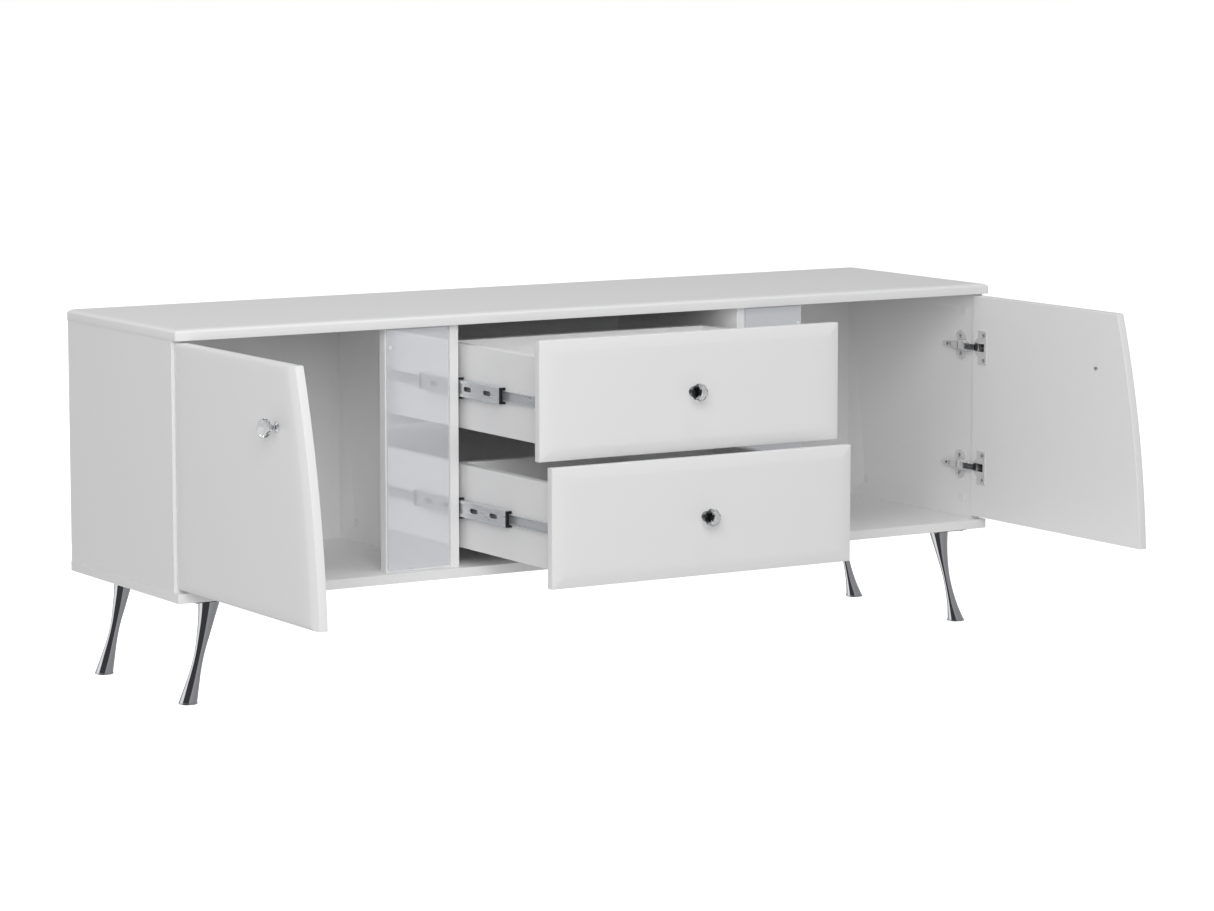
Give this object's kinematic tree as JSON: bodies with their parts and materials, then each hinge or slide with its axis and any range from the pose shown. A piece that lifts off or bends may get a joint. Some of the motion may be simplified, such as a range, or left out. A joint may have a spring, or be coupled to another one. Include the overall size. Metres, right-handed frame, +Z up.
{
  "type": "tv stand with doors",
  "caption": "Low TV stand on splayed metal legs, with a hinged door at each end, and drawers with crystal knobs between narrow mirrors.",
  "frame": {"origin": "on the floor, under the middle of the cabinet's top board", "axes": "+X along the front, to the right of someone who faces it; +Y to the back; +Z up"},
  "size_m": [1.652, 0.8742, 0.61],
  "materials": {
    "black_plastic": "moulded",
    "bumper_plastic": "soft and clear",
    "cap_plastic": "moulded",
    "chrome": "polished plating",
    "crystal": "cut and polished",
    "dark_plate": "black powder coat",
    "leg_metal": "plated casting, mirror bright",
    "mirror": "silvered glass",
    "screw_steel": "zinc plated",
    "steel": "zinc plated sheet",
    "white_back": "matte white painted thin board",
    "white_board": "satin white lacquered foil on board",
    "white_front": "satin white lacquer on moulded board"
  },
  "bodies": {
    "cabinet": {"back_left_leg": "leg_metal", "back_panel": "white_back", "back_right_leg": "leg_metal", "bottom_panel": "white_board", "cam_fittings": "cap_plastic", "door_bumpers": "bumper_plastic", "foot_pads": "leg_metal", "front_left_leg": "leg_metal", "front_right_leg": "leg_metal", "hinge_arms": "steel", "hinge_plate_screws": "screw_steel", "hinge_plates": "steel", "left_divider": "white_board", "left_mirror": "mirror", "left_mirror_board": "white_board", "left_side": "white_board", "leg_plates": "dark_plate", "leg_screws": "screw_steel", "right_divider": "white_board", "right_mirror": "mirror", "right_mirror_board": "white_board", "right_side": "white_board", "slide_cabinet_members": "steel", "slide_stops": "black_plastic", "top_panel": "white_board"},
    "left_door": {"left_cup_screws": "screw_steel", "left_door_knob_base": "chrome", "left_door_knob_crystal": "crystal", "left_door_knob_screw": "screw_steel", "left_door_panel": "white_front", "left_hinge_cups": "steel"},
    "left_hinge_links": {"left_hinge_links": "steel"},
    "lower_drawer": {"lower_drawer_back": "white_board", "lower_drawer_bottom": "white_back", "lower_drawer_front": "white_front", "lower_drawer_knob_base": "chrome", "lower_drawer_knob_crystal": "crystal", "lower_drawer_knob_screw": "screw_steel", "lower_drawer_sides": "white_board", "lower_slide_drawer_members": "steel"},
    "lower_middle_slides": {"lower_slide_cages": "black_plastic", "lower_slide_middle_members": "steel"},
    "right_door": {"right_cup_screws": "screw_steel", "right_door_knob_base": "chrome", "right_door_knob_crystal": "crystal", "right_door_knob_screw": "screw_steel", "right_door_panel": "white_front", "right_hinge_cups": "steel"},
    "right_hinge_links": {"right_hinge_links": "steel"},
    "upper_drawer": {"upper_drawer_back": "white_board", "upper_drawer_bottom": "white_back", "upper_drawer_front": "white_front", "upper_drawer_knob_base": "chrome", "upper_drawer_knob_crystal": "crystal", "upper_drawer_knob_screw": "screw_steel", "upper_drawer_sides": "white_board", "upper_slide_drawer_members": "steel"},
    "upper_middle_slides": {"upper_slide_cages": "black_plastic", "upper_slide_middle_members": "steel"}
  },
  "joints": [
    {"name": "left_hinge_link_swing", "type": "hinge", "parent": "cabinet", "child": "left_hinge_links", "pos_m": [-0.772, -0.176, 0.3895], "axis": [0, 0, 1], "range_deg": [-34.7, 4]},
    {"name": "left_door_swing", "type": "hinge", "parent": "left_hinge_links", "child": "left_door", "pos_m": [-0.779, -0.19784, 0.3895], "axis": [0, 0, 1], "range_deg": [-13.8, 124.6]},
    {"name": "right_hinge_link_swing", "type": "hinge", "parent": "cabinet", "child": "right_hinge_links", "pos_m": [0.772, -0.176, 0.3895], "axis": [0, 0, -1], "range_deg": [-34.7, 4]},
    {"name": "right_door_swing", "type": "hinge", "parent": "right_hinge_links", "child": "right_door", "pos_m": [0.779, -0.19784, 0.3895], "axis": [0, 0, -1], "range_deg": [-13.8, 124.6]},
    {"name": "upper_drawer_slide", "type": "slide", "parent": "cabinet", "child": "upper_drawer", "axis": [0, -1, 0], "range_m": [-0.269, 0.081]},
    {"name": "upper_middle_slides_slide", "type": "slide", "parent": "cabinet", "child": "upper_middle_slides", "axis": [0, -1, 0], "range_m": [-0.1345, 0.0405]},
    {"name": "lower_drawer_slide", "type": "slide", "parent": "cabinet", "child": "lower_drawer", "axis": [0, -1, 0], "range_m": [-0.308, 0.042]},
    {"name": "lower_middle_slides_slide", "type": "slide", "parent": "cabinet", "child": "lower_middle_slides", "axis": [0, -1, 0], "range_m": [-0.154, 0.021]}
  ],
  "couplings": [
    {"joint": "left_hinge_link_swing", "follows": "left_door_swing", "ratio": -0.2777},
    {"joint": "right_hinge_link_swing", "follows": "right_door_swing", "ratio": -0.2777},
    {"joint": "upper_middle_slides_slide", "follows": "upper_drawer_slide", "ratio": 0.5},
    {"joint": "lower_middle_slides_slide", "follows": "lower_drawer_slide", "ratio": 0.5}
  ]
}
